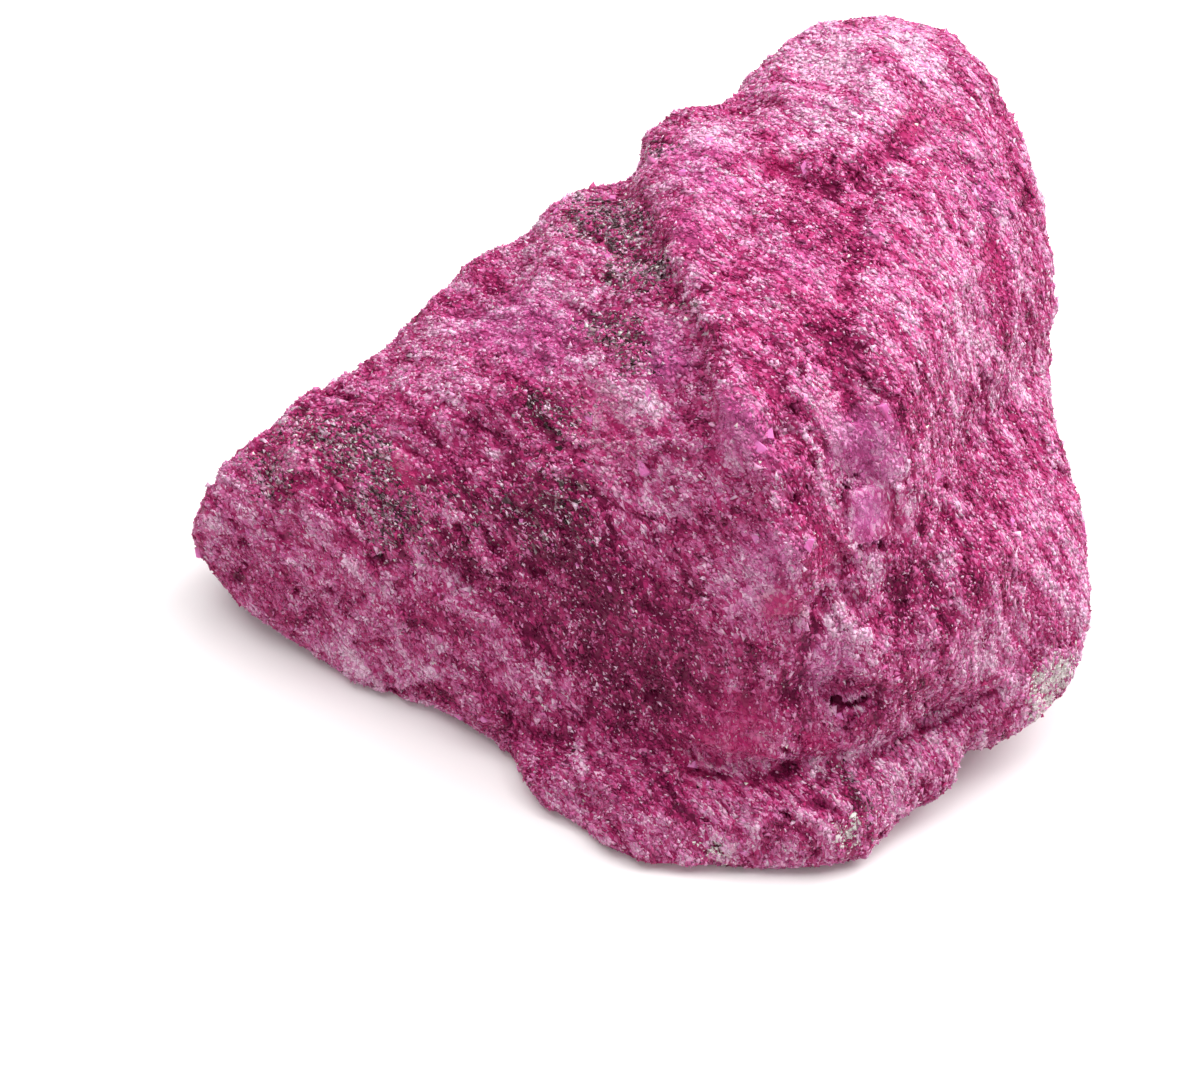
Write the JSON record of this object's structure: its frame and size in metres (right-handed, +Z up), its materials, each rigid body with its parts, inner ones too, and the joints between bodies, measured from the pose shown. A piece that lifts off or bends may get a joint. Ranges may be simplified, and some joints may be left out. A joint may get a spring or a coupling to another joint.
{
  "type": "raw ruby crystal",
  "caption": "Raw ruby crystal: a rough, broken wedge-shaped lump of massive sugary magenta ruby with a high blocky end, a low blunt tip and a flat underside.",
  "frame": {"origin": "middle of the bounding box seen from above, at the height of the flat underside", "axes": "+X from the low tip towards the high blocky end's right side, +Y to the back, +Z up"},
  "size_m": [0.0718, 0.0608, 0.0447],
  "materials": {
    "ruby": "rough broken crystal, dull with glints"
  },
  "bodies": {
    "root": {"ruby_crystal": "ruby"}
  },
  "joints": []
}
